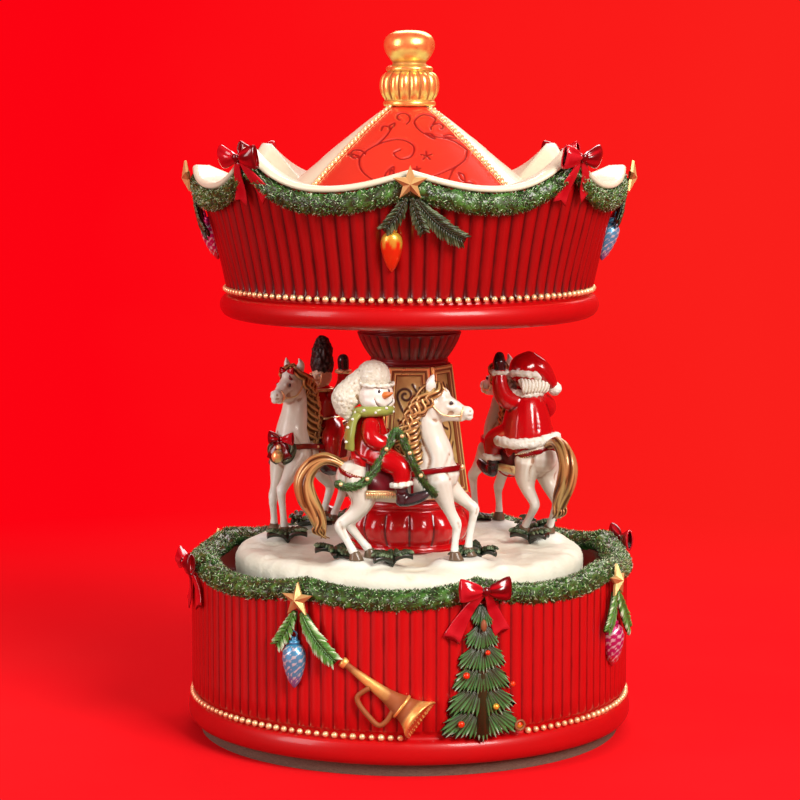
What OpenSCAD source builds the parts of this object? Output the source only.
// Carousel music box: a turning carousel of three horses on a fluted base that hides
// a wind-up musical movement. All sizes are in millimetres. The part stands on z = 0,
// the axis of the carousel is Z, and the front of the box faces -Y.

/* [Base] */
// How far the bottom plate's edge lies inside the crests of the base's flutes
plate_setback = 2.3; // [1.7:0.1:3.5]
// Thickness of the bottom plate
plate_t = 3; // [2:0.1:4]
// Radius of the key recess through the bottom plate
key_recess_r = 20; // [18:0.5:22]
// Radius of the base at the crests of its flutes
base_r = 56.7; // [56:0.1:58]
// How far the bottom moulding stands out past the flutes
base_rim_proud = 0.9; // [0.4:0.1:1.4]
// Height of the bottom moulding
base_rim_h = 6; // [5:0.1:7]
// Thickness of the base wall
base_wall_t = 4.7; // [4:0.1:5]
// Height of the room for the movement, from the bottom plate to the ceiling
cavity_h = 29; // [28:0.5:32]
// Thickness of the ceiling that carries the movement
ceiling_t = 4; // [3:0.1:5]
// Height of the wall round the carousel above the ceiling
well_h = 7; // [6:0.5:8]
// Number of flutes round the base
base_flutes = 112; // [96:8:128]
// Depth of the flutes
flute_depth = 0.5; // [0.3:0.05:0.7]

/* [Carousel] */
// Radius of the snow platform
snow_r = 45.2; // [43:0.1:46]
// Thickness of the snow platform
snow_t = 10.1; // [9:0.1:11]
// Rounding of the platform's upper edge
snow_edge_r = 3.2; // [2:0.1:4]
// Running gap between the platform and the ceiling
platform_gap = 1.5; // [1:0.1:2]
// Radius of the circle on which the horses stand
orbit_r = 32; // [31:0.1:33]
// Size of the horses and riders, 1 as made
figure_size = 1; // [0.94:0.01:1.02]
// Largest radius of the melon-shaped column foot
foot_r = 17.4; // [16:0.1:18]
// Height of the column foot
foot_h = 13; // [12:0.1:14]
// Corner radius of the six-sided column at its lower end
column_low_r = 15; // [14:0.1:15.5]
// Corner radius of the column at its upper end
column_high_r = 10.6; // [10:0.1:11]
// Height of the column
column_h = 34.4; // [33:0.1:36]
// Radius of the capital's upper disc
capital_r = 13.7; // [13:0.1:15]
// Height of the capital
capital_h = 12; // [11:0.1:13]

/* [Canopy] */
// How far the moulding round the canopy floor stands out past the valance's foot
canopy_rim_proud = 1.6; // [1:0.1:2.6]
// Height of that moulding
canopy_rim_h = 6; // [5:0.1:7]
// Outer radius of the fluted valance where it starts
valance_low_r = 47.2; // [46.5:0.1:47.4]
// Outer radius of the valance at the highest point of its edge
valance_high_r = 56; // [55:0.1:57]
// Thickness of the valance
valance_t = 3.2; // [2.6:0.1:3.6]
// Number of flutes round the valance
canopy_flutes = 88; // [80:8:96]
// Height from the valance's foot to the low point of each swag of its edge
swag_low_h = 25.5; // [24.5:0.5:27]
// Height from the valance's foot to the edge behind each star
swag_star_h = 29.5; // [28:0.5:31]
// Height from the valance's foot to the edge behind each bow
swag_bow_h = 34.5; // [33:0.5:36]
// Radius of the tent roof at its foot, along the ribs
roof_r = 37.5; // [36:0.5:39]
// Height of the tent roof
roof_h = 23; // [22:0.5:24]
// Radius of the round finial's fluted bulb
bulb_r = 7.7; // [7:0.1:8.5]
// Radius of the knob on top
knob_r = 6.35; // [5.5:0.05:7]
// Height of the whole finial
finial_h = 19.28; // [18:0.01:20]

/* [Ornaments] */
// Number of bows round the base and round the canopy, with a star between each two
bow_count = 4; // [3:1:6]
// Direction of the first bow on the base, in degrees from the front
bow_turn = 17.5; // [10:0.5:25]
// Radius of the gold beads
bead_r = 0.8; // [0.6:0.05:0.95]
// Distance from bead to bead
bead_pitch = 2.32; // [2.1:0.02:2.6]
// Half the height of the fir garlands
garland_r = 2.7; // [2.4:0.1:3]
// Rise of the base garland from a low point to a bow or star
garland_rise = 2.2; // [1.5:0.1:3]
// Radius of the stars to their points
star_r = 4.3; // [3.8:0.1:4.8]
// Width of a bow over both loops
bow_w = 12.6; // [11:0.1:14]
// Length of the pointed glass baubles
bauble_l = 12; // [10:0.1:14]
// Length of the fir sprigs under the stars
sprig_l = 14; // [12:0.1:16]
// Height of the fir tree on the front
tree_h = 33; // [31:0.1:34]
// Width of the fir tree at its foot
tree_w = 23; // [20:0.1:25]
// Length of the trumpet on the front
trumpet_l = 28; // [25:0.1:30]

/* [Movement] */
// Thickness of the movement's bedplate
bedplate_t = 2; // [1.6:0.1:2.4]
// Height of the bedplate's upper face above the bottom plate
bedplate_up = 11; // [10.5:0.1:11.5]
// Radius of the spring barrel
barrel_r = 9; // [8.5:0.1:9.2]
// Radius of the winding arbor
arbor_r = 2; // [1.8:0.05:2.2]
// Radius of the output shaft
shaft_r = 2.5; // [2.2:0.05:3]
// Running clearance of each shaft in its bearing, on the radius
running_gap = 0.05; // [0.03:0.01:0.09]
// Radius of the pinned music cylinder
drum_r = 6.5; // [6:0.1:6.8]
// Length of the music cylinder
drum_l = 17; // [16:0.5:18]
// Number of teeth of the comb
comb_teeth = 18; // [16:1:20]
// Module of the crown gear and its pinion
crown_module = 0.6; // [0.58:0.01:0.62]
// Module of the fine gears of the governor train
fine_module = 0.3; // [0.28:0.01:0.32]
// Width of the winding key over its wings
key_w = 21; // [18:0.5:24]

/* [Hidden] */

FINE = 96;
seat = 0.02;            // play between faces that are screwed together

set_turn = 360 / bow_count;     // from bow to bow, with a star halfway

// Heights, from the table upwards
ceiling_z = plate_t + cavity_h;
well_floor_z = ceiling_z + ceiling_t;
wall_top_z = well_floor_z + well_h;
rim_top_z = plate_t + base_rim_h;
flute_foot_z = rim_top_z + 2 * bead_r + 0.3;
snow_foot_z = well_floor_z + platform_gap;
snow_z = snow_foot_z + snow_t;
column_z = snow_z + foot_h;
capital_z = column_z + column_h;
canopy_z = capital_z + capital_h;
canopy_rim_z = canopy_z + canopy_rim_h;
valance_z = canopy_rim_z + 2 * bead_r + 0.2;
roof_z = valance_z + swag_low_h - 2.6;
finial_z = roof_z + roof_h + seat;
bedplate_z = plate_t + bedplate_up - bedplate_t;
bedplate_top_z = bedplate_z + bedplate_t;

// Radii that follow from the walls
base_rim_r = base_r + base_rim_proud;
plate_r = base_r - plate_setback;
cavity_r = base_r - base_wall_t;
canopy_rim_r = valance_low_r + canopy_rim_proud;

// Gear train: the crown gear lies flat on the barrel's axis, the cylinder's pinion stands on it
crown_n = 36;
pinion_n = 12;
drum_gear_n = 48;
governor_pinion_n = 12;
worm_wheel_n = 20;
tooth_share = 0.35;     // tooth thickness as a share of the pitch, which leaves the backlash
crown_rp = crown_n * crown_module / 2;
pinion_rp = pinion_n * crown_module / 2;
drum_gear_rp = drum_gear_n * fine_module / 2;
governor_pinion_rp = governor_pinion_n * fine_module / 2;
worm_wheel_rp = worm_wheel_n * fine_module / 2;
worm_rp = 1.15;
worm_throw = 0.28;      // eccentricity of the worm's round section
mesh_gap = 0.08;        // extra centre distance of every pair
crown_face = 1.6;
fine_face = 1;
barrel_z = bedplate_top_z + 0.8;
flange_t = 1.2;
crown_pitch_z = barrel_z + flange_t + crown_module * 1.3;
cylinder_z = crown_pitch_z + pinion_rp + mesh_gap;
barrel_top_z = ceiling_z - 3.2;
shaft_rod_r = 0.9;      // the cylinder's and the governor's pivots
pinion_x = crown_rp - crown_face / 2;
bracket_t = 1.2;
inner_bracket_x = pinion_x + crown_face + 0.4;
drum_x = inner_bracket_x + bracket_t + 0.5;
drum_gear_x = drum_x + drum_l + 0.4;
outer_bracket_x = drum_gear_x + fine_face + 0.5;
worm_wheel_x = outer_bracket_x + bracket_t + 0.9;
governor_bracket_x = worm_wheel_x + fine_face + 0.9;
governor_y = drum_gear_rp + governor_pinion_rp + mesh_gap;
spindle_x = worm_wheel_x + fine_face / 2;
spindle_y = governor_y + worm_wheel_rp + worm_rp + mesh_gap;
spindle_top_z = ceiling_z - 1.6;
spindle_r = 0.6;

// Points round the axis: turn 0 is the front, and turns grow anticlockwise seen from above
function around(turn, r, z = 0) = [r * sin(turn), -r * cos(turn), z];
function mix(a, b, t) = a + (b - a) * t;
// Height of a draped edge: it hangs in swags of half a set's turn between the cusps, whose
// heights go in turn even, odd, even, odd
function swag(turn, low, even, odd) =
    let (step = 2 * turn / set_turn, left = floor(step), u = 2 * (step - left) - 1,
        a = left % 2 == 0 ? even : odd, b = left % 2 == 0 ? odd : even)
    low + (mix(a, b, (u + 1) / 2) - low) * pow(abs(u), 2.2);

module at(turn, r, z) {
    rotate([0, 0, turn]) translate([0, -r, z]) children();
}
module tube(r_out, r_in, h) {
    difference() {
        cylinder(r = r_out, h = h, $fn = FINE);
        translate([0, 0, -1]) cylinder(r = r_in, h = h + 2, $fn = FINE);
    }
}
// A closed solid through rings of points, from the lowest ring up; each ring runs anticlockwise
// as seen from above and has as many points
module loft(rings) {
    n = len(rings[0]);
    m = len(rings);
    polyhedron(
        points = [for (ring = rings) each ring],
        faces = [
            [for (i = [0 : n - 1]) i],
            for (k = [0 : m - 2]) for (i = [0 : n - 1])
                [k * n + i, (k + 1) * n + i, (k + 1) * n + (i + 1) % n, k * n + (i + 1) % n],
            [for (i = [n - 1 : -1 : 0]) (m - 1) * n + i]
        ]);
}
// A solid ring: each station holds one closed section, and the last joins the first
module ring_loft(stations) {
    n = len(stations[0]);
    m = len(stations);
    polyhedron(
        points = [for (s = stations) each s],
        faces = [for (k = [0 : m - 1]) for (i = [0 : n - 1])
            [k * n + i, k * n + (i + 1) % n,
             ((k + 1) % m) * n + (i + 1) % n, ((k + 1) % m) * n + i]]);
}
// A body of round pieces: each pair of neighbours in the list [x, y, z, radius] is joined
module chain(points, sides = 10) {
    for (i = [0 : len(points) - 2]) hull() {
        translate([points[i][0], points[i][1], points[i][2]]) sphere(r = points[i][3], $fn = sides);
        translate([points[i + 1][0], points[i + 1][1], points[i + 1][2]])
            sphere(r = points[i + 1][3], $fn = sides);
    }
}
module screw(r, length, head_r, head_h) {
    cylinder(r = r, h = length, $fn = 24);
    difference() {
        translate([0, 0, -head_h]) cylinder(r = head_r, h = head_h, $fn = 32);
        translate([-head_r, -head_r / 10, -head_h - 0.1]) cube([2 * head_r, head_r / 5, head_h / 2]);
    }
}

// ---- Base ----
screw_r = 1.3;
screw_turns = [45, 135, 225, 315];
plate_screw_ring_r = cavity_r - 3.8;
boss_r = 4.4;           // the plate's screw bosses grow out of the wall
plate_boss_h = 9;
movement_boss_r = 3.2;
movement_boss_play = 1.1;   // between the far bosses and the bridge over the fan
screw_land = 4;         // from the bedplate's edges to its screws
bridge_w = 5;
bedplate_w = 44;
bedplate_x0 = -20;      // where the bedplate starts, the barrel lies towards that end
bedplate_l = spindle_x + bridge_w / 2 + movement_boss_play + movement_boss_r + screw_land - bedplate_x0;
movement_screw_x = [bedplate_x0 + screw_land, bedplate_x0 + bedplate_l - screw_land];
movement_screw_y = bedplate_w / 2 - screw_land;
head_r = 2.4;
head_h = 1.2;

module bottom_plate() {
    color("saddlebrown") difference() {
        cylinder(r = plate_r, h = plate_t, $fn = FINE);
        translate([0, 0, -1]) cylinder(r = key_recess_r, h = plate_t + 2, $fn = FINE);
        for (turn = screw_turns) at(turn, plate_screw_ring_r, -1) {
            cylinder(r = screw_r + 0.2, h = plate_t + 2, $fn = 24);
            cylinder(r = head_r + 0.2, h = head_h + 1.2, $fn = 32);
        }
    }
}
module plate_screws() {
    color("silver") for (turn = screw_turns) at(turn, plate_screw_ring_r, head_h + 0.2)
        screw(screw_r, plate_t + 4, head_r, head_h);
}
function flute_ring(r, n, depth, per = 4) =
    [for (i = [0 : n * per - 1]) let (turn = 360 * i / (n * per),
        cut = depth * (1 - pow(abs(sin(n * turn / 2)), 0.7)))
        [(r - cut) * sin(turn), -(r - cut) * cos(turn)]];
module base_shell() {
    color("firebrick") difference() {
        union() {
            // bottom moulding, bead step and the plain core of the wall
            rotate_extrude($fn = FINE) polygon([
                [cavity_r, plate_t + seat], [base_rim_r - 1.6, plate_t + seat],
                [base_rim_r - 0.5, plate_t + 1], [base_rim_r, plate_t + base_rim_h * 0.45],
                [base_rim_r - 0.3, rim_top_z - 0.8], [base_r, rim_top_z],
                [base_r - 1.1, rim_top_z + 0.2], [base_r - 1.1, wall_top_z],
                [cavity_r, wall_top_z]]);
            translate([0, 0, flute_foot_z]) linear_extrude(wall_top_z - flute_foot_z) difference() {
                polygon(flute_ring(base_r, base_flutes, flute_depth));
                circle(r = cavity_r + 2, $fn = FINE);
            }
            translate([0, 0, ceiling_z]) cylinder(r = cavity_r + 1, h = ceiling_t, $fn = FINE);
            for (turn = screw_turns) at(turn, plate_screw_ring_r, plate_t + 0.6)
                cylinder(r = boss_r, h = plate_boss_h, $fn = 32);
            for (x = movement_screw_x, side = [-1, 1])
                translate([x, side * movement_screw_y, bedplate_top_z + seat])
                    cylinder(r = movement_boss_r, h = ceiling_z - bedplate_top_z + 1, $fn = 32);
        }
        for (turn = screw_turns) at(turn, plate_screw_ring_r, 0)
            cylinder(r = screw_r + seat, h = plate_t + 6, $fn = 24);
        for (x = movement_screw_x, side = [-1, 1])
            translate([x, side * movement_screw_y, bedplate_top_z - 1])
                cylinder(r = screw_r + seat, h = 7, $fn = 24);
        translate([0, 0, ceiling_z - 1]) cylinder(r = bush_r, h = ceiling_t + 2, $fn = FINE);
    }
}
bead_n = floor(2 * PI * base_r / bead_pitch);
// A row of beads; none lie between the turns named in gaps
module bead_row(r, z, n, gaps = []) {
    for (i = [0 : n - 1]) let (turn = 360 * i / n)
        if (len([for (g = gaps) if (turn > g[0] && turn < g[1]) g]) == 0)
            at(turn, r, z) sphere(r = bead_r, $fn = 16);
}
tree_half_turn = asin(tree_w / 2 / base_r) + 1.2;
module base_beads() {
    color("gold") bead_row(base_r - bead_r / 4, rim_top_z + bead_r + 0.15, bead_n,
        [[bow_turn - tree_half_turn, bow_turn + tree_half_turn], [-1, 5]]);
}

// ---- Garlands, bows, stars, sprigs and baubles, the same make on base and canopy ----
garland_proud = 1.1;    // how far a garland stands out past the wall that carries it
garland_step = 7.5;
base_garland_z = wall_top_z - 0.2;
function base_edge(turn) = swag(turn - bow_turn + 720, base_garland_z,
    base_garland_z + garland_rise + 0.6, base_garland_z + garland_rise);
// The base's garland is laid over the wall's top edge, so its section has a slot for the wall
module base_garland() {
    out_r = base_r + seat;
    in_r = cavity_r - seat;
    mid_r = (out_r + in_r) / 2;
    color("darkgreen") ring_loft([for (turn = [0 : garland_step : 360 - garland_step])
        let (z = base_edge(turn), foot = min(z - 0.6 * garland_r, wall_top_z - 0.3))
        [for (p = [[out_r, wall_top_z + seat], [out_r, foot - 0.4], [out_r + 0.5, z - garland_r],
            [out_r + garland_proud, z - 0.5 * garland_r], [out_r + garland_proud, z + 0.3 * garland_r],
            [mid_r + 1.8, z + garland_r], [mid_r - 1.8, z + garland_r],
            [in_r - 1.2, z + 0.3 * garland_r], [in_r - 1.2, z - 0.4 * garland_r],
            [in_r, foot], [in_r, wall_top_z + seat]])
            around(turn, p[0], p[1])]]);
}
// A bow of two loops, a knot and two tails, flat against a wall behind it at y = 0
module bow(w, tails = 9) {
    for (side = [-1, 1]) {
        hull() {
            translate([side * w * 0.08, -1, 0]) sphere(r = w * 0.08, $fn = 6);
            translate([side * w * 0.42, -1.2, w * 0.02]) rotate([90, 0, 0])
                cylinder(r = w * 0.19, h = w * 0.16, center = true, $fn = 6);
        }
        hull() {
            translate([side * w * 0.06, -0.6, 0]) sphere(r = w * 0.07, $fn = 5);
            translate([side * w * 0.42, 0.2, -tails]) cube([w * 0.2, 1, w * 0.1], center = true);
        }
    }
    translate([0, -1.4, 0]) sphere(r = w * 0.12, $fn = 6);
}
// A five-pointed star with faces that rise to its middle
STAR_T = 0.6;
function star_ring(r, y) = [for (i = [0 : 9]) let (reach = i % 2 == 0 ? r : r * 0.45)
    [reach * sin(36 * i), y, reach * cos(36 * i)]];
module star(r) {
    n = 10;
    rim = star_ring(r, 0);
    back = star_ring(r, STAR_T);
    polyhedron(points = concat(rim, back, [[0, -r * 0.34, 0], [0, STAR_T, 0]]),
        faces = concat(
            [for (i = [0 : n - 1]) [2 * n, i, (i + 1) % n]],
            [for (i = [0 : n - 1]) [i, n + i, n + (i + 1) % n, (i + 1) % n]],
            [for (i = [0 : n - 1]) [2 * n + 1, n + (i + 1) % n, n + i]]));
}
// A fir sprig: a flat leaf-shaped mass of needles that curves away from its stalk
module sprig(length, lean, wide = 2.1) {
    function spine(t) = let (a = lean * (0.5 + 0.5 * t)) [length * t * sin(a), -0.5, -length * t * cos(a)];
    function half(t) = wide * (0.35 + 1.3 * sqrt(max(t, 0)) * (1 - 0.85 * t * t));
    loft([for (k = [0 : 5]) let (t = k / 5, p = spine(t), s = half(t), a = lean * (0.3 + t))
        [for (i = [0 : 5]) let (b = 60 * i)
            p + [s * cos(b) * cos(a), -1.1 * sin(b), s * cos(b) * sin(a)]]]);
}
// A pointed glass bauble with its cap, hanging down from z = 0
module bauble(l) {
    rotate_extrude($fn = 20) polygon([
        [0, 0], [l * 0.06, 0], [l * 0.07, -l * 0.1], [l * 0.14, -l * 0.16], [l * 0.22, -l * 0.28],
        [l * 0.23, -l * 0.42], [l * 0.18, -l * 0.66], [l * 0.08, -l * 0.9], [0, -l]]);
}
module base_bows() {
    color("crimson") for (k = [0 : bow_count - 1]) let (turn = bow_turn + set_turn * k)
        at(turn, base_r + garland_proud + 0.8, base_edge(turn) - 0.4) bow(bow_w);
}
module base_stars() {
    color("goldenrod") for (k = [0 : bow_count - 1]) let (turn = bow_turn + set_turn * (k - 0.5))
        at(turn, base_r + garland_proud + STAR_T + 0.1, base_edge(turn) - 2.2) star(star_r);
}
module star_sprigs() {
    for (side = [[-32, 0.72], [42, 1]]) sprig(sprig_l * side[1], side[0]);
}
module base_sprigs() {
    color("darkolivegreen") for (k = [0 : bow_count - 1]) let (turn = bow_turn + set_turn * (k - 0.5))
        at(turn, base_r + 0.6, base_edge(turn) - 4.5) star_sprigs();
}
module base_baubles() {
    for (k = [0 : bow_count - 1]) let (turn = bow_turn + set_turn * (k - 0.5), tone = k % 2 == 0)
        color(tone ? "steelblue" : "mediumvioletred")
            difference() {
                at(turn - 1.5, base_r + 1.2, base_edge(turn) - 12) bauble(bauble_l);
                cylinder(r = base_r + seat, h = wall_top_z, $fn = FINE);
            }
}
// The fir tree stands in relief on the wall: tiers of drooping boughs, widest at the foot
tree_tiers = 6;
// A ring of one tier: a bulging front and a back that follows the wall
function tier_ring(w, z) = let (steps = [-1 : 0.4 : 1], half = asin(w / 2 / base_r))
    concat([for (u = steps) around(bow_turn + half * u, base_r + 0.1 + w * 0.17 * sqrt(1.04 - u * u), z)],
        [for (u = [1, 0.5, 0, -0.5, -1]) around(bow_turn + half * u, base_r + 0.05, z)]);
module fir_tree() {
    h = tree_h / tree_tiers;
    color("forestgreen") loft([for (k = [0 : tree_tiers - 1])
        let (w = mix(tree_w, tree_w * 0.26, k / tree_tiers), z = rim_top_z + 0.1 + h * k)
        each [tier_ring(w, z), tier_ring(w * 0.86, z + h * 0.3), tier_ring(w * 0.5, z + h * 0.97)]]);
}
// The trumpet lies in relief on the wall, from its mouthpiece down to its bell. It is drawn
// on the unrolled wall, as distance along the wall and height, and then wrapped round it.
wall_arc = PI * base_r / 180;
bell_r = 5.3;
bell_at = [3.2 * wall_arc, rim_top_z + bell_r + 0.2];
mouth_at = [-16.7 * wall_arc, bell_at[1] + trumpet_l * 0.5];
HORN = [[0, bell_r], [0.05, bell_r - 0.4], [0.13, 3.6], [0.26, 2.5], [0.5, 1.6], [0.9, 0.9],
    [0.93, 1.3], [1, 1.3]];
function on_wall(p, out) = around(p[0] / wall_arc, base_r + out, p[1]);
// A section across a line that runs in direction d: arched in front, or round where it stands off
function wall_section(c, d, r, off = 0) = let (n = [-d[1], d[0]] * -1)
    concat([for (b = [180 : -20 : 0]) on_wall(c + n * r * cos(b), off + 0.2 + r * sin(b) * 0.8)],
        [for (u = [0.6, 0, -0.6]) on_wall(c + n * r * u, off + 0.15)]);
module trumpet() {
    d = (mouth_at - bell_at) / norm(mouth_at - bell_at);
    down = [d[1], -d[0]] * -1;
    color("goldenrod") {
        loft([for (h = HORN) wall_section(mix(bell_at, mouth_at, h[0]), d, h[1])]);
        grip = [for (g = [[0.3, 2.5], [0.3, 6.4], [0.36, 7.4], [0.56, 6.6], [0.62, 5.4], [0.6, 1.5]])
            mix(bell_at, mouth_at, g[0]) + down * g[1]];
        loft([for (i = [0 : len(grip) - 1])
            let (e = grip[min(i + 1, len(grip) - 1)] - grip[max(i - 1, 0)])
            wall_section(grip[i], e / norm(e), 0.6, 0.4)]);
    }
}

// ---- Movement ----
bush_r = 5;
bush_flange_r = 7;
bush_flange_t = 1.2;
comb_tip_gap = 0.15;    // from the pins' tips to the comb
pin_h = 0.5;
comb_t = 0.8;
comb_y = -(drum_r + pin_h + comb_tip_gap);
comb_tooth_l = 11;
comb_back_l = 8;
comb_block_w = 7;
spindle_pivot_l = 0.8;
window_w = 11;

module bedplate() {
    color("silver") difference() {
        translate([bedplate_x0, -bedplate_w / 2, bedplate_z]) cube([bedplate_l, bedplate_w, bedplate_t]);
        translate([0, 0, bedplate_z - 1])
            cylinder(r = arbor_r + running_gap, h = bedplate_t + 2, $fn = FINE);
        for (x = movement_screw_x, side = [-1, 1])
            translate([x, side * movement_screw_y, bedplate_z - 1])
                cylinder(r = screw_r + 0.2, h = bedplate_t + 2, $fn = 24);
        translate([spindle_x, spindle_y, bedplate_top_z - spindle_pivot_l])
            cylinder(r = spindle_r + running_gap, h = spindle_pivot_l + 1, $fn = 32);
        // window under the cylinder and its gear
        translate([drum_x - 0.6, -window_w / 2, bedplate_z - 1])
            cube([drum_l + fine_face + 1.4, window_w, bedplate_t + 2]);
    }
}
module movement_screws() {
    color("dimgray") for (x = movement_screw_x, side = [-1, 1])
        translate([x, side * movement_screw_y, bedplate_z - seat])
            screw(screw_r, bedplate_t + 5, head_r, head_h);
}
comb_pitch = (drum_l - 1.5) / comb_teeth;
comb_x0 = drum_x + 0.75;
comb_w = comb_pitch * comb_teeth;
comb_screw_y = comb_y - comb_tooth_l - comb_back_l / 2;
comb_screw_x = [comb_x0 + 3.5, comb_x0 + comb_w - 3.5];
module comb() {
    color("lightsteelblue") difference() {
        translate([comb_x0, comb_y - comb_tooth_l - comb_back_l, cylinder_z - comb_t / 2])
            cube([comb_w, comb_tooth_l + comb_back_l, comb_t]);
        for (i = [1 : comb_teeth - 1])
            translate([comb_x0 + i * comb_pitch - 0.12, comb_y - comb_tooth_l, cylinder_z - comb_t])
                cube([0.24, comb_tooth_l + 1, 2 * comb_t]);
        for (x = comb_screw_x) translate([x, comb_screw_y, cylinder_z - comb_t])
            cylinder(r = screw_r + 0.1, h = 2 * comb_t, $fn = 24);
    }
}
comb_block_top_z = cylinder_z - comb_t / 2 - seat;
module comb_block() {
    color("gray") difference() {
        translate([comb_x0, comb_screw_y - comb_block_w / 2, bedplate_top_z + seat])
            cube([comb_w, comb_block_w, comb_block_top_z - bedplate_top_z - seat]);
        for (x = comb_screw_x) translate([x, comb_screw_y, comb_block_top_z - 4.5])
            cylinder(r = screw_r + seat, h = 5, $fn = 24);
    }
}
module comb_screws() {
    color("dimgray") for (x = comb_screw_x)
        translate([x, comb_screw_y, cylinder_z + comb_t / 2 + seat]) mirror([0, 0, 1])
            screw(screw_r, 4.5, head_r - 0.4, head_h);
}
// An upright that carries one pivot of the cylinder, and others where named
module upright(x, y0, y1, holes, top = 5) {
    difference() {
        translate([x, y0, bedplate_top_z + seat])
            cube([bracket_t, y1 - y0, cylinder_z - bedplate_top_z + top]);
        for (hole = holes) translate([x - 1, hole[0], hole[1]]) rotate([0, 90, 0])
            cylinder(r = shaft_rod_r + running_gap, h = bracket_t + 2, $fn = 32);
    }
}
module inner_bracket() {
    color("silver") upright(inner_bracket_x, -4, 4, [[0, cylinder_z]], 4);
}
module outer_bracket() {
    color("silver") upright(outer_bracket_x, -4, governor_y + 3,
        [[0, cylinder_z], [governor_y, cylinder_z]], 4);
}
module governor_bracket() {
    color("silver") upright(governor_bracket_x, governor_y - 3, governor_y + 3,
        [[governor_y, cylinder_z]], 4);
}
// Bridge over the fan: it stands on the bedplate and holds the spindle's upper pivot
bridge_post_y = spindle_y + 5.2;
module fan_bridge() {
    color("silver") difference() {
        union() {
            translate([spindle_x - bridge_w / 2, bridge_post_y, bedplate_top_z + seat])
                cube([bridge_w, 1.5, spindle_top_z - bedplate_top_z + 0.8]);
            translate([spindle_x - bridge_w / 2, spindle_y - 2.5, spindle_top_z - 0.6])
                cube([bridge_w, bridge_post_y - spindle_y + 4, 1.4]);
        }
        translate([spindle_x, spindle_y, spindle_top_z - 1])
            cylinder(r = spindle_r + running_gap, h = 1.4, $fn = 32);
    }
}
ratchet_r = 5;
ratchet_n = 15;
ratchet_t = 1.2;
ratchet_z = bedplate_z - 0.4 - ratchet_t;
function ratchet_ring() = [for (i = [0 : ratchet_n - 1])
    let (a = 360 * i / ratchet_n, b = 360 * (i + 0.12) / ratchet_n, low_r = ratchet_r - 0.8)
        each [[ratchet_r * cos(a), ratchet_r * sin(a)], [low_r * cos(b), low_r * sin(b)]]];
click_l = 12;
module click_spring() {
    // a spring strip whose free end rides just clear of the ratchet's points
    color("lightsteelblue") {
        translate([-click_l + 1, ratchet_r + 0.12, ratchet_z]) cube([click_l, 0.4, ratchet_t]);
        translate([-click_l, ratchet_r + 0.12, ratchet_z]) cube([1.1, 3, bedplate_z - seat - ratchet_z]);
    }
}
module shaft_bush() {
    color("goldenrod") difference() {
        union() {
            translate([0, 0, ceiling_z - bush_flange_t - seat])
                cylinder(r = bush_flange_r, h = bush_flange_t, $fn = FINE);
            translate([0, 0, ceiling_z - bush_flange_t])
                cylinder(r = bush_r - seat, h = ceiling_t + bush_flange_t, $fn = FINE);
        }
        translate([0, 0, ceiling_z - 5]) cylinder(r = shaft_r + running_gap, h = ceiling_t + 10, $fn = FINE);
    }
}
// A spur gear's outline: straight-flanked teeth with their pitch point on the pitch circle
function gear_ring(n, m, phase = 0) = let (rp = n * m / 2, pitch = 360 / n)
    [for (i = [0 : n - 1]) let (a = pitch * i + phase, root = rp - 1.2 * m, tip = rp + 0.9 * m,
        wr = pitch * tooth_share * 0.62, wt = pitch * tooth_share * 0.3)
        each [[root * cos(a - wr), root * sin(a - wr)], [tip * cos(a - wt), tip * sin(a - wt)],
              [tip * cos(a + wt), tip * sin(a + wt)], [root * cos(a + wr), root * sin(a + wr)]]];
// Lays a gear of the given outline across X, its teeth counted from straight down
module cross_gear(x, face, n, m, phase = 0) {
    translate([x, 0, 0]) rotate([0, 90, 0]) linear_extrude(face) polygon(gear_ring(n, m, phase));
}
module music_cylinder() {
    color("goldenrod") translate([0, 0, cylinder_z]) {
        difference() {
            translate([drum_x, 0, 0]) rotate([0, 90, 0]) cylinder(r = drum_r, h = drum_l, $fn = FINE);
            for (end = [drum_x - 1, drum_x + drum_l - 1]) translate([end, 0, 0]) rotate([0, 90, 0])
                tube(drum_r - 0.8, shaft_rod_r + 1.2, 2);
        }
        for (i = [0 : comb_teeth - 1], k = [0 : 2])
            translate([comb_x0 + (i + 0.5) * comb_pitch, 0, 0]) rotate([(i * 67 + k * 131) % 360, 0, 0])
                translate([0, 0, drum_r - 0.3]) cylinder(r = 0.2, h = pin_h + 0.3, $fn = 6);
        translate([pinion_x - 0.6, 0, 0]) rotate([0, 90, 0])
            cylinder(r = shaft_rod_r, h = outer_bracket_x + bracket_t + 0.4 - pinion_x + 0.6, $fn = 32);
        cross_gear(pinion_x, crown_face, pinion_n, crown_module);
    }
}
module cylinder_gear() {
    color("gold") translate([0, 0, cylinder_z]) difference() {
        cross_gear(drum_gear_x, fine_face, drum_gear_n, fine_module);
        translate([drum_gear_x - 1, 0, 0]) rotate([0, 90, 0])
            cylinder(r = shaft_rod_r, h = fine_face + 2, $fn = 32);
    }
}
governor_shaft_x = drum_gear_x - 0.2;
module governor_wheel() {
    // the governor pinion's gap faces a tooth of the cylinder's gear, so it is half a pitch round
    color("gold") translate([0, governor_y, cylinder_z]) {
        cross_gear(drum_gear_x, fine_face, governor_pinion_n, fine_module, 90 + 180 / governor_pinion_n);
        cross_gear(worm_wheel_x, fine_face, worm_wheel_n, fine_module, 0);
        translate([governor_shaft_x, 0, 0]) rotate([0, 90, 0])
            cylinder(r = shaft_rod_r, h = governor_bracket_x + bracket_t + 0.3 - governor_shaft_x, $fn = 32);
    }
}
worm_lead = PI * fine_module;
worm_turns = 4;
worm_phase = 90 + 180 * worm_turns; // the thread's hollow faces a tooth of the wheel
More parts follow.
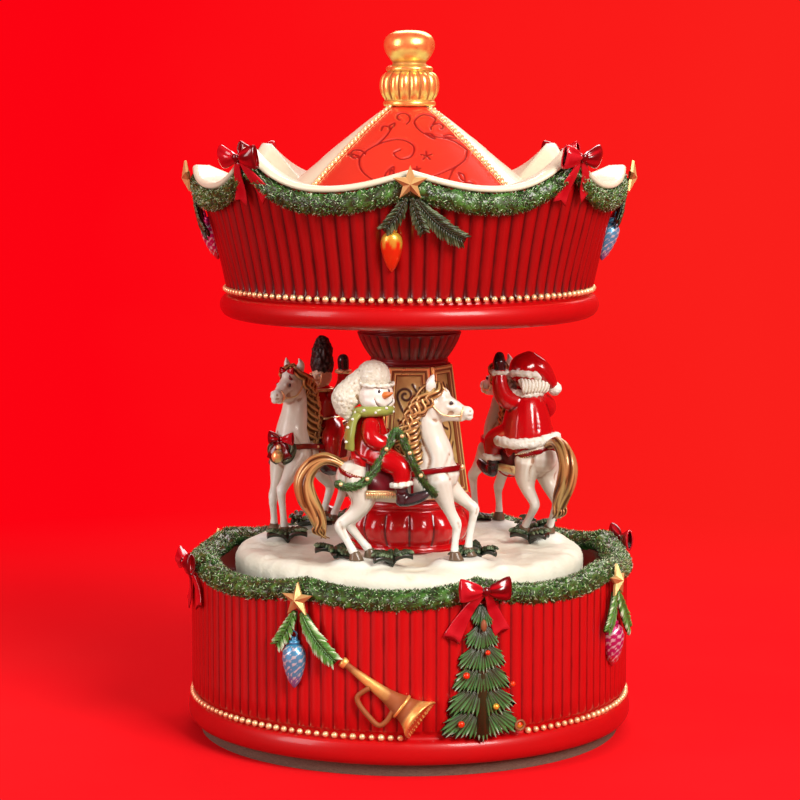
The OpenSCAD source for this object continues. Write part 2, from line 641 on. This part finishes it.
module worm_spindle() {
    color("lightsteelblue") translate([spindle_x, spindle_y, 0]) {
        translate([0, 0, bedplate_top_z - spindle_pivot_l + 0.1])
            cylinder(r = spindle_r, h = spindle_top_z - bedplate_top_z + spindle_pivot_l + 0.1, $fn = 32);
        translate([0, 0, cylinder_z - worm_lead * worm_turns / 2]) rotate([0, 0, worm_phase])
            linear_extrude(worm_lead * worm_turns, twist = 360 * worm_turns, slices = 10 * worm_turns)
                translate([worm_throw, 0]) circle(r = worm_rp - 0.1, $fn = 10);
    }
}
fan_r = 3.6;
fan_h = 4;
fan_z = spindle_top_z - fan_h - 1.4;
module air_brake() {
    color("gold") translate([spindle_x, spindle_y, fan_z]) difference() {
        union() {
            cylinder(r = spindle_r + 0.7, h = fan_h, $fn = 24);
            translate([-fan_r, -0.2, 0]) cube([2 * fan_r, 0.4, fan_h]);
        }
        translate([0, 0, -1]) cylinder(r = spindle_r, h = fan_h + 2, $fn = 32);
    }
}
key_z = 1.6;
key_h = 7;
key_hub_r = 3.2;
key_hub_z = ratchet_z - 0.8;
arbor_top_z = barrel_top_z - 2;
module winding_arbor() {
    color("silver") difference() {
        translate([0, 0, key_z + key_h - 2])
            cylinder(r = arbor_r, h = arbor_top_z - key_z - key_h + 2, $fn = FINE);
        // slot that hooks the spring's inner end
        translate([0, -0.25, barrel_z + 2]) cube([arbor_r + 1, 0.5, arbor_top_z - barrel_z - 4]);
    }
}
module ratchet_wheel() {
    color("goldenrod") translate([0, 0, ratchet_z]) difference() {
        linear_extrude(ratchet_t) polygon(ratchet_ring());
        translate([0, 0, -1]) cylinder(r = arbor_r, h = ratchet_t + 2, $fn = FINE);
    }
}
module winding_key() {
    color("silver") difference() {
        union() {
            translate([0, 0, key_z + key_h - 3])
                cylinder(r = key_hub_r, h = key_hub_z - key_z - key_h + 3, $fn = 32);
            intersection() {
                translate([-key_w / 2, -0.75, key_z]) cube([key_w, 1.5, key_h]);
                translate([0, 5, key_z + key_h - 1]) rotate([90, 0, 0])
                    cylinder(r = key_w / 2, h = 10, $fn = FINE);
            }
        }
        translate([0, 0, key_z + key_h - 2]) cylinder(r = arbor_r, h = 20, $fn = FINE);
    }
}
crown_out_r = crown_rp + crown_face / 2;
module crown_gear() {
    pitch = 360 / crown_n;
    tooth_w = crown_module * PI * tooth_share;
    color("goldenrod") {
        translate([0, 0, barrel_z]) tube(crown_out_r, arbor_r + running_gap, flange_t);
        for (i = [0 : crown_n - 1]) rotate([0, 0, pitch * (i + 0.5)])
            translate([crown_out_r - crown_face + 0.15, 0, barrel_z + flange_t - 0.1]) rotate([90, 0, 90])
                linear_extrude(crown_face - 0.3) polygon([
                    [-tooth_w * 0.62, 0], [tooth_w * 0.62, 0],
                    [tooth_w * 0.28, crown_module * 2.1], [-tooth_w * 0.28, crown_module * 2.1]]);
    }
}
barrel_t = 1;
module spring_barrel() {
    z0 = barrel_z + flange_t + seat;
    color("goldenrod") difference() {
        translate([0, 0, z0]) cylinder(r = barrel_r, h = barrel_top_z - z0, $fn = FINE);
        translate([0, 0, z0 - 1])
            cylinder(r = barrel_r - barrel_t, h = barrel_top_z - z0 - barrel_t + 1, $fn = FINE);
        translate([0, 0, barrel_top_z - 3]) cylinder(r = shaft_r, h = 4, $fn = FINE);
    }
}
// Flat spiral of spring steel, drawn as one closed band
spring_turns = 5;
spring_t = 0.35;
function spiral(r0, r1, turns, shift) = [for (i = [0 : turns * 24])
    let (t = i / (turns * 24), r = mix(r0, r1, t) + shift)
    [r * cos(360 * turns * t), r * sin(360 * turns * t)]];
module mainspring() {
    inner = arbor_r + 0.5;
    outer = barrel_r - barrel_t - spring_t - 0.1;
    out = spiral(inner, outer, spring_turns, spring_t);
    back = spiral(inner, outer, spring_turns, 0);
    color("lightsteelblue") translate([0, 0, barrel_z + flange_t + 1])
        linear_extrude(arbor_top_z - barrel_z - flange_t - 2.2)
            polygon(concat(out, [for (i = [len(back) - 1 : -1 : 0]) back[i]]));
}
socket_l = 5;           // how far the shaft reaches into the platform
module output_shaft() {
    color("silver") translate([0, 0, barrel_top_z - barrel_t + seat])
        cylinder(r = shaft_r - seat, h = snow_foot_z + socket_l - barrel_top_z + barrel_t - 0.1, $fn = FINE);
}

// ---- Carousel ----
mound_r = 9;            // radius of the low snow mounds under the hooves
mound_h = 1.8;
hoof_z = snow_z + mound_h - 0.2;
figure_turns = [0, 120, 240];
figure_hooves = [-12, 12];
module snow_platform() {
    color("ivory") difference() {
        union() {
            rotate_extrude($fn = FINE) union() {
                polygon([[0, snow_foot_z], [snow_r - 0.6, snow_foot_z], [snow_r, snow_foot_z + 3],
                    [snow_r, snow_z - snow_edge_r], [snow_r - snow_edge_r, snow_z], [0, snow_z]]);
                translate([snow_r - snow_edge_r, snow_z - snow_edge_r]) circle(r = snow_edge_r, $fn = 48);
            }
            for (turn = figure_turns, x = figure_hooves) rotate([0, 0, turn])
                translate([x * figure_size, -orbit_r, snow_z - 1.5])
                    cylinder(r1 = mound_r, r2 = mound_r * 0.55, h = mound_h + 1.3, $fn = 32);
        }
        translate([0, 0, snow_foot_z - 1]) cylinder(r = shaft_r, h = socket_l + 1, $fn = FINE);
    }
}
module snow_sprigs() {
    color("darkgreen") for (turn = figure_turns, spot = [[-19, 7, 25], [18, 6, -60], [-4, -5, 200]])
        rotate([0, 0, turn]) translate([spot[0], -orbit_r + spot[1], snow_z + 0.5])
            rotate([0, 0, spot[2]]) rotate([-90, 0, 0]) sprig(9, 12, 1.7);
}
foot_lobes = 16;
// A ring of round lobes with creases between them
function lobed_ring(n, r, depth, z, per = 2) = [for (i = [0 : n * per - 1]) let (turn = 360 * i / (n * per))
    around(turn, r - depth * (1 - pow(abs(sin(n * turn / 2)), 0.8)), z)];
module column_foot() {
    bulge = foot_h * 0.3;
    bulge_z = foot_h * 0.43;
    neck_z = bulge_z + bulge + foot_h * 0.08;
    function plain(r, z) = lobed_ring(foot_lobes, r, 0, z);
    color("red") translate([0, 0, snow_z + seat]) loft(concat(
        [plain(foot_r * 0.86, 0), plain(foot_r * 0.86, bulge_z - bulge - 0.2)],
        [for (a = [-75 : 25 : 75]) lobed_ring(foot_lobes, foot_r - 3.4 * (1 - cos(a)), 1.1 * cos(a * 0.9),
            bulge_z + bulge * sin(a) / sin(75))],
        [plain(foot_r * 0.84, bulge_z + bulge + 0.2), plain(foot_r * 0.84, neck_z),
         plain(foot_r * 0.9, neck_z + 0.3), plain(foot_r * 0.9, foot_h - seat)]));
}
COLUMN_SIDES = 6;
module column() {
    color("darkred") translate([0, 0, column_z + seat])
        cylinder(r1 = column_low_r, r2 = column_high_r, h = column_h - 2 * seat, $fn = COLUMN_SIDES);
}
frame_t = 0.7;
frame_edge = 1.5;
// One gold frame of a column side, drawn flat as rails and stiles, then leaned onto the side
module column_frame() {
    low = column_low_r * cos(30);
    high = column_high_r * cos(30);
    lean = atan((low - high) / column_h);
    w0 = column_low_r - 1;
    w1 = column_high_r - 1;
    h = column_h - 1.6;
    translate([0, -low, 0.8]) rotate([90 - lean, 0, 0]) translate([0, 0, 0.02]) linear_extrude(frame_t)
        difference() {
            polygon([[-w0 / 2, 0], [w0 / 2, 0], [w1 / 2, h], [-w1 / 2, h]]);
            polygon([[-w0 / 2 + frame_edge, frame_edge], [w0 / 2 - frame_edge, frame_edge],
                [w1 / 2 - frame_edge, h - frame_edge], [-w1 / 2 + frame_edge, h - frame_edge]]);
        }
}
module column_frames() {
    color("goldenrod") translate([0, 0, column_z + seat])
        for (i = [0 : COLUMN_SIDES - 1]) rotate([0, 0, 60 * i]) column_frame();
}
capital_flutes = 28;
module capital() {
    neck = 9.8;
    bell_h = capital_h * 0.7;
    function ring(r, z, depth = 0) = [for (i = [0 : capital_flutes * 2 - 1])
        around(180 * i / capital_flutes, r - (i % 2) * depth, z)];
    color("darkred") translate([0, 0, capital_z + seat]) loft(concat(
        [for (t = [0 : 0.25 : 1]) ring(mix(neck, capital_r, pow(t, 0.7)), bell_h * t, 0.5)],
        [ring(capital_r, bell_h + 0.2), ring(capital_r, bell_h + capital_h * 0.1),
         ring(capital_r - 1.2, bell_h + capital_h * 0.1 + 0.1), ring(capital_r - 1.2, capital_h - 2 * seat)]));
}

// ---- Canopy ----
function canopy_edge(turn) = valance_z + swag(turn + 720, swag_low_h, swag_star_h, swag_bow_h);
function valance_r(z) = mix(valance_low_r, valance_high_r,
    pow(max(z - valance_z, 0) / swag_bow_h, 1.1));
// The slope of the valance at a height, in degrees from upright
function valance_lean(z) = atan((valance_r(z + 1) - valance_r(z - 1)) / 2);
canopy_step = 180 / canopy_flutes;
canopy_turns = [for (i = [0 : 2 * canopy_flutes - 1]) canopy_step * i];
VALANCE_ROWS = [0, 0.45, 1];
module canopy_floor() {
    color("red") difference() {
        rotate_extrude($fn = FINE) polygon([[0, canopy_z], [canopy_rim_r - 2.5, canopy_z],
            [canopy_rim_r - 0.8, canopy_z + 1], [canopy_rim_r, canopy_z + canopy_rim_h * 0.45],
            [canopy_rim_r - 0.3, canopy_rim_z - 1], [canopy_rim_r - 1.3, canopy_rim_z],
            [valance_low_r - 1, canopy_rim_z], [valance_low_r - 1, valance_z - seat],
            [valance_low_r - valance_t - 1, valance_z - seat],
            [valance_low_r - valance_t - 1, canopy_z + 3], [0, canopy_z + 3]]);
        translate([0, 0, canopy_z - 1]) cylinder(r = 2, h = 2.5, $fn = 24);
    }
}
module canopy_valance() {
    color("firebrick") ring_loft([for (i = [0 : len(canopy_turns) - 1])
        let (turn = canopy_turns[i], top = canopy_edge(turn), cut = (i % 2) * flute_depth * 1.4)
        concat(
            [for (t = VALANCE_ROWS) let (z = mix(valance_z, top, t))
                around(turn, valance_r(z) - (t < 1 ? cut : 0), z)],
            [for (t = [1, 0]) let (z = mix(valance_z, top, t))
                around(turn, valance_r(z) - valance_t, z)])]);
}
canopy_bead_n = floor(2 * PI * (valance_low_r) / bead_pitch);
module canopy_beads() {
    color("gold") bead_row(valance_low_r - 0.2, canopy_rim_z + bead_r + 0.1, canopy_bead_n);
}
garland_drop = 2.8;     // from the valance's edge down to the middle of its garland
canopy_garland_proud = 1.7;
valance_play = 0.3;     // from the flutes' crests to what is laid on them
module canopy_garland() {
    color("darkgreen") ring_loft([for (turn = [0 : garland_step : 360 - garland_step])
        let (z = canopy_edge(turn) - garland_drop)
        [for (p = [[valance_play, 0.95], [valance_play, -1], [0.9, -1.05], [canopy_garland_proud, -0.5],
            [canopy_garland_proud, 0.5], [1, 0.98]])
            around(turn, valance_r(z + p[1] * garland_r) + p[0], z + p[1] * garland_r)]]);
}
// The valance's outside as a plain solid, to cut the backs of what lies on it
module valance_core() {
    rotate_extrude($fn = FINE) polygon(concat([[0, canopy_z]],
        [for (z = [canopy_z : 4 : valance_z + swag_bow_h + 4]) [valance_r(z) + valance_play, z]],
        [[0, valance_z + swag_bow_h + 4]]));
}
bow_lean = 0.58;        // how far a bow's foot leans in, as a share of the valance's lean
bow_gap = 0.2;
module canopy_bows() {
    color("crimson") for (k = [0 : bow_count - 1])
        let (turn = set_turn * (k + 0.5), z = canopy_edge(turn) - 1.5)
        at(turn, valance_r(z) + canopy_garland_proud + bow_gap, z)
            rotate([bow_lean * valance_lean(z), 0, 0]) bow(bow_w);
}
module canopy_stars() {
    color("goldenrod") for (k = [0 : bow_count - 1]) let (turn = set_turn * k, z = canopy_edge(turn) - 2)
        at(turn, valance_r(z) + canopy_garland_proud + STAR_T, z) rotate([-8, 0, 0]) star(star_r);
}
sprig_tuck = 2.8;       // how much further than the valance a sprig leans in, in degrees
module canopy_sprigs() {
    color("darkolivegreen") for (k = [0 : bow_count - 1]) let (turn = set_turn * k, z = canopy_edge(turn) - 5)
        at(turn, valance_r(z) + 0.8, z) rotate([valance_lean(z) + sprig_tuck, 0, 0]) star_sprigs();
}
module canopy_baubles() {
    for (k = [0 : bow_count - 1]) let (turn = set_turn * k, z = canopy_edge(turn) - 11.5)
        color(["goldenrod", "steelblue", "goldenrod", "mediumvioletred"][k % 4])
            difference() {
                at(turn - 4, valance_r(z) + 1.2, z) rotate([valance_lean(z) + 1.3, 0, 0])
                    bauble(bauble_l * 0.85);
                valance_core();
            }
}
drape_t = 1.4;
drape_play = 0.3;        // from the drape's inner edge to the roof
drape_foot_z = roof_z + seat;
module canopy_drape() {
    color("cornsilk") ring_loft([for (turn = [0 : 3.75 : 356.25])
        let (top = canopy_edge(turn), r = valance_r(top), foot = roof_round(turn, roof_r) + drape_play,
            mid_r = mix(foot, r, 0.5),
            mid_z = mix(drape_foot_z, top, 0.38))
        [around(turn, r + 0.5, top + seat), around(turn, r + 0.5, top + drape_t),
         around(turn, r - valance_t, top + drape_t), around(turn, mid_r, mid_z + drape_t),
         around(turn, foot, drape_foot_z + drape_t), around(turn, foot, drape_foot_z),
         around(turn, mid_r, mid_z), around(turn, r - valance_t, top + seat)]]);
}
// Radius of the tent roof towards a direction: a rounded square with its corners on the ribs
function roof_round(turn, r) = r * (0.9 + 0.1 * pow(abs(sin(turn * bow_count / 2)), 1.6));
roof_t = 2.4;
roof_flange = 2.6;
finial_hole_r = 3;
function roof_reach(t) = mix(6, roof_r, pow(t, 0.94));
function roof_height(t) = roof_z + roof_h * (1 - pow(t, 1.06));
// The roof is a shell with a flange under the drape, open at the top for the finial
module tent_roof() {
    color("red") ring_loft([for (turn = [0 : 7.5 : 352.5]) let (foot = roof_round(turn, roof_r)) concat(
        [around(turn, foot + roof_flange, roof_z - 1.4), around(turn, foot + roof_flange, roof_z)],
        [for (t = [1 : -0.2 : 0.05]) around(turn, roof_round(turn, roof_reach(t)), roof_height(t))],
        [around(turn, 6, roof_z + roof_h), around(turn, finial_hole_r, roof_z + roof_h)],
        [around(turn, finial_hole_r, roof_z + roof_h - 2 * roof_t)],
        [for (t = [0.35, 0.7])
            around(turn, roof_round(turn, roof_reach(t)) - roof_t, roof_height(t) - roof_t)],
        [around(turn, foot - roof_t, roof_z - 1.4)])]);
}
rib_bead_r = 0.75;
rib_beads = 22;
module roof_ribs() {
    color("gold") for (k = [0 : bow_count - 1], i = [0 : rib_beads - 1]) let (t = 0.03 + 0.9 * i / rib_beads,
        r = roof_reach(t), z = roof_height(t))
        at(set_turn * (k + 0.5), r + 0.25, z + 0.25) sphere(r = rib_bead_r, $fn = 14);
}
bulb_lobes = 18;
module finial() {
    ring_r = bulb_r - 1.2;
    neck_r = knob_r - 1;
    bulb_z = 5.4;
    bulb_h = 3.7;
    knob_z = finial_h - 4.4;
    function plain(p) = lobed_ring(bulb_lobes, p[0], 0, p[1]);
    color("gold") translate([0, 0, finial_z]) loft(concat(
        [for (p = [[finial_hole_r - 0.05, -3], [finial_hole_r - 0.05, -0.01], [ring_r - 0.6, 0], [ring_r, 0.8],
            [ring_r - 0.5, 1.6]]) plain(p)],
        [for (a = [-75 : 30 : 75]) lobed_ring(bulb_lobes, bulb_r - 2 * (1 - cos(a)), 0.7 * cos(a),
            bulb_z + bulb_h * sin(a) / sin(75))],
        [for (p = [[neck_r, bulb_z + bulb_h + 0.4], [neck_r + 0.1, bulb_z + bulb_h + 0.7],
            [neck_r - 0.6, bulb_z + bulb_h + 1.2]]) plain(p)],
        [for (a = [-38 : 20.5 : 86])
            plain([knob_r * pow(cos(a), 0.85), knob_z + (a < 0 ? 4.9 : 4.4) * sin(a)])],
        [plain([0.3, finial_h])]));
}

// ---- Horses and riders ----
// Points are given from the middle of the horse's hooves: x forwards, -y to the outside of
// the carousel, z up; the fourth number is the radius of the body there.
module placed(k) {
    rotate([0, 0, figure_turns[k]]) translate([0, -orbit_r, hoof_z]) scale(figure_size) children();
}
module leg(hip, knee, ankle, hoof) {
    chain([hip, knee, ankle, hoof], 7);
}
module horse() {
    chain([[6.6, 0, 20.5, 5], [0, 0, 18.4, 5.1], [-11.4, 0, 20, 5.5]], 12);
    chain([[7, 0, 24, 4.6], [5.6, 0, 31.5, 3.2], [5.4, 0, 39, 2.9], [13.6, 0, 36.4, 1.8]], 10);
    for (side = [-1, 1]) chain([[4.6, side * 1.3, 41, 1], [4.6, side * 1.7, 44.6, 0.4]], 6);
    leg([-12, -2.4, 17, 3.4], [-13, -2.7, 12.5, 2], [-18, -2.7, 8.6, 1.3], [-13.4, -2.7, 1.2, 1.2]);
    leg([-11.6, 2.4, 17, 3.2], [-12, 2.7, 12, 1.9], [-15.6, 2.7, 8, 1.2], [-9.8, 2.7, 1.2, 1.2]);
    leg([7, -2.4, 18.4, 3.2], [9.4, -2.7, 13.5, 1.7], [11.6, -2.7, 8.6, 1.3], [11.2, -2.7, 1.2, 1.2]);
    leg([8, 2.4, 18.4, 3], [15.6, 2.7, 12.4, 1.4], [15, 2.7, 8, 1.1], [14.6, 2.7, 1.4, 1.2]);
}
module mane_and_tail() {
    chain([[4.4, 0, 42, 1.3], [1.6, 0, 37, 2], [1.4, 0, 31, 2], [3.2, 0, 26, 1.6]], 8);
    chain([[-16, 0, 23.4, 1], [-21.4, 0, 25, 1.6], [-26, 0, 20.6, 2.2], [-24.6, 0, 14.6, 2.4],
        [-22.2, 0, 9, 1.8], [-21, 0, 5.4, 0.8]], 8);
}
saddle_r = 5.9;
module saddle_cloth() {
    translate([-6, 0, 19.2]) rotate([0, 98, 0]) difference() {
        cylinder(r = saddle_r + 0.7, h = 9, center = true, $fn = 48);
        cylinder(r = saddle_r, h = 10, center = true, $fn = 48);
        translate([0.4, -10, -10]) cube([20, 20, 20]);
    }
}
module horses() {
    color("ivory") for (k = [0 : 2]) placed(k) horse();
}
module manes_and_tails() {
    color("peru") for (k = [0 : 2]) placed(k) mane_and_tail();
}
module saddle_cloths() {
    color("darkred") for (k = [0 : 2]) placed(k) saddle_cloth();
}
module rider_legs() {
    for (side = [-1, 1])
        chain([[-8, side * 3.4, 26.4, 2.6], [-2.6, side * 6.6, 24, 2.6], [-1.8, side * 7.6, 18.6, 1.6],
            [3, side * 7.8, 18.8, 1.4]], 8);
}
module rider_arm(shoulder, elbow, hand) {
    chain([shoulder, elbow, hand], 8);
}
module snowman_rider() {
    placed(0) {
        color("red") {
            chain([[-9.6, 0, 27.4, 4.4], [-9.8, 0, 33.4, 3.4]], 12);
            rider_legs();
            rider_arm([-9.4, -3.4, 33.4, 1.9], [-8, -5.2, 30, 1.9], [-4.8, -5, 30.4, 1.5]);
            rider_arm([-9.4, 3.4, 33.4, 1.9], [-6.6, 4.4, 30, 1.9], [-1.6, 2.2, 30.4, 1.4]);
        }
        color("white") {
            translate([-8.6, 0, 40.4]) sphere(r = 4.3, $fn = 12);
            chain([[-9.4, 0, 44.6, 4.2], [-16, 0.6, 40.4, 3.4]], 10);
        }
        color("olive") chain([[-14, -1, 35.6, 1.6], [-15.4, -1.6, 28, 1.2]], 8);
        color("darkgreen") chain([[-16.8, -6, 19.4, 0.9], [-11.6, -7.4, 19.4, 0.9], [-5.4, -6.8, 30, 0.9],
            [-0.4, -9, 24.6, 0.9], [4.6, -7.4, 17.4, 0.9]], 6);
    }
}
module santa_rider() {
    placed(1) color("red") {
        chain([[-8.6, 0, 26.6, 5.2], [-9, 0, 34.4, 3.8]], 12);
        rider_legs();
        rider_arm([-9, 3.6, 35, 2.2], [-8.4, 7, 38, 1.9], [-8, 7.4, 45, 1.9]);
        rider_arm([-9, -3.6, 34, 2.2], [-7.6, -6.4, 30.4, 2], [-3.6, -5, 30, 1.6]);
        chain([[-8.6, 0, 40.4, 3.9], [-9.6, 0, 43.2, 3.5], [-11.4, -3.6, 41.6, 2], [-10.8, -6, 38.4, 1.5]], 10);
    }
}
module soldier_rider() {
    placed(2) color("crimson") {
        chain([[-8.6, 0, 26.8, 4.4], [-9, 0, 34, 3.6]], 12);
        rider_legs();
        rider_arm([-9, 3.4, 34, 2], [-8.6, 6.4, 37.4, 1.7], [-8.4, 7, 43.6, 1.7]);
        rider_arm([-9, -3.4, 34, 2], [-6.6, -5, 30.6, 1.9], [-2.4, -3.4, 30.4, 1.5]);
        translate([-8.6, 0, 39.6]) sphere(r = 3.2, $fn = 12);
        chain([[-8.8, 0, 42.6, 3.1], [-9, 0, 47.4, 2.7]], 10);
    }
}

bottom_plate();
plate_screws();
base_shell();
base_beads();
base_garland();
base_bows();
base_stars();
base_sprigs();
base_baubles();
fir_tree();
trumpet();
bedplate();
movement_screws();
comb();
comb_block();
comb_screws();
inner_bracket();
outer_bracket();
governor_bracket();
fan_bridge();
click_spring();
shaft_bush();
music_cylinder();
cylinder_gear();
governor_wheel();
worm_spindle();
air_brake();
winding_arbor();
ratchet_wheel();
winding_key();
crown_gear();
spring_barrel();
mainspring();
output_shaft();
snow_platform();
snow_sprigs();
column_foot();
column();
column_frames();
capital();
canopy_floor();
canopy_valance();
canopy_beads();
canopy_garland();
canopy_bows();
canopy_stars();
canopy_sprigs();
canopy_baubles();
canopy_drape();
tent_roof();
roof_ribs();
finial();
horses();
manes_and_tails();
saddle_cloths();
snowman_rider();
santa_rider();
soldier_rider();
